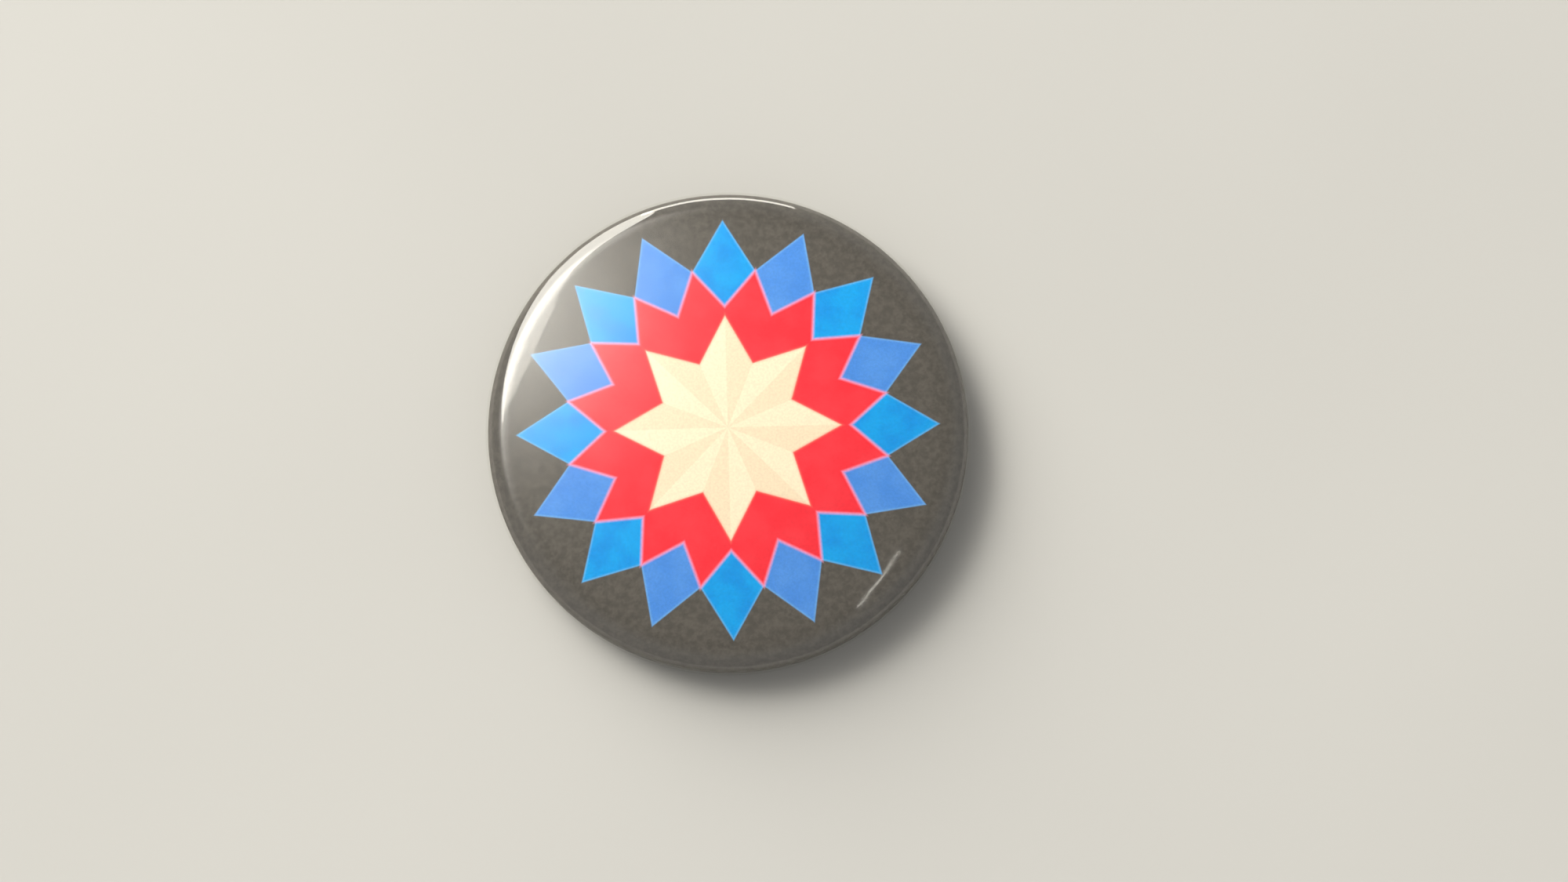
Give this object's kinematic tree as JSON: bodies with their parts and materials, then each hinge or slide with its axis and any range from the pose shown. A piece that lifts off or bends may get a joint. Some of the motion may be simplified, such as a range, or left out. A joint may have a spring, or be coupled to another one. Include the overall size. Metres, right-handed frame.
{
  "type": "button badge",
  "caption": "Round pin-back button badge: a printed disc under clear film on a domed, curled-rim metal shell, with a small safety pin held by straps on its back plate.",
  "frame": {"origin": "bottom centre of the bounding box: on the badge's axis, at the height of the pin's lowest point, which is the surface that the badge rests on face up", "axes": "+Z out through the middle of the face; +X along the pin, from its coil to its clasp; +Y from the pin's fixed leg to its needle, which is the top of the print"},
  "size_m": [0.0254, 0.0254, 0.005],
  "materials": {
    "clear_film": "clear, glossy",
    "printed_paper": "printed on a dark grey ground",
    "tinplate": "bright rolled tinplate",
    "spring_wire": "nickel plated, drawn",
    "clasp_sheet": "nickel plated, pressed"
  },
  "bodies": {
    "badge_body": {"front_film": "clear_film", "printed_disc": "printed_paper", "front_shell": "tinplate", "back_plate": "tinplate"},
    "pin_frame": {"pin_fixed_leg": "spring_wire", "pin_clasp": "clasp_sheet"},
    "pin_spring": {"pin_coil": "spring_wire"},
    "pin_arm": {"pin_needle": "spring_wire"}
  },
  "joints": [
    {"name": "pin_flip", "type": "hinge", "parent": "badge_body", "child": "pin_frame", "pos_m": [0, -0.0015, 0.00115], "axis": [-1, 0, 0], "range_deg": [0, 80]},
    {"name": "needle_press", "type": "hinge", "parent": "pin_frame", "child": "pin_spring", "pos_m": [-0.0076, -0.00025, 0.00035], "axis": [0, 0, -1], "range_deg": [0, 4], "stiffness_Nm_per_rad": 0.02},
    {"name": "needle_open", "type": "hinge", "parent": "pin_spring", "child": "pin_arm", "pos_m": [-0.0072, 0.001, 0.00035], "axis": [0, 0.9397, -0.342], "range_deg": [0, 30], "stiffness_Nm_per_rad": 0.02}
  ]
}
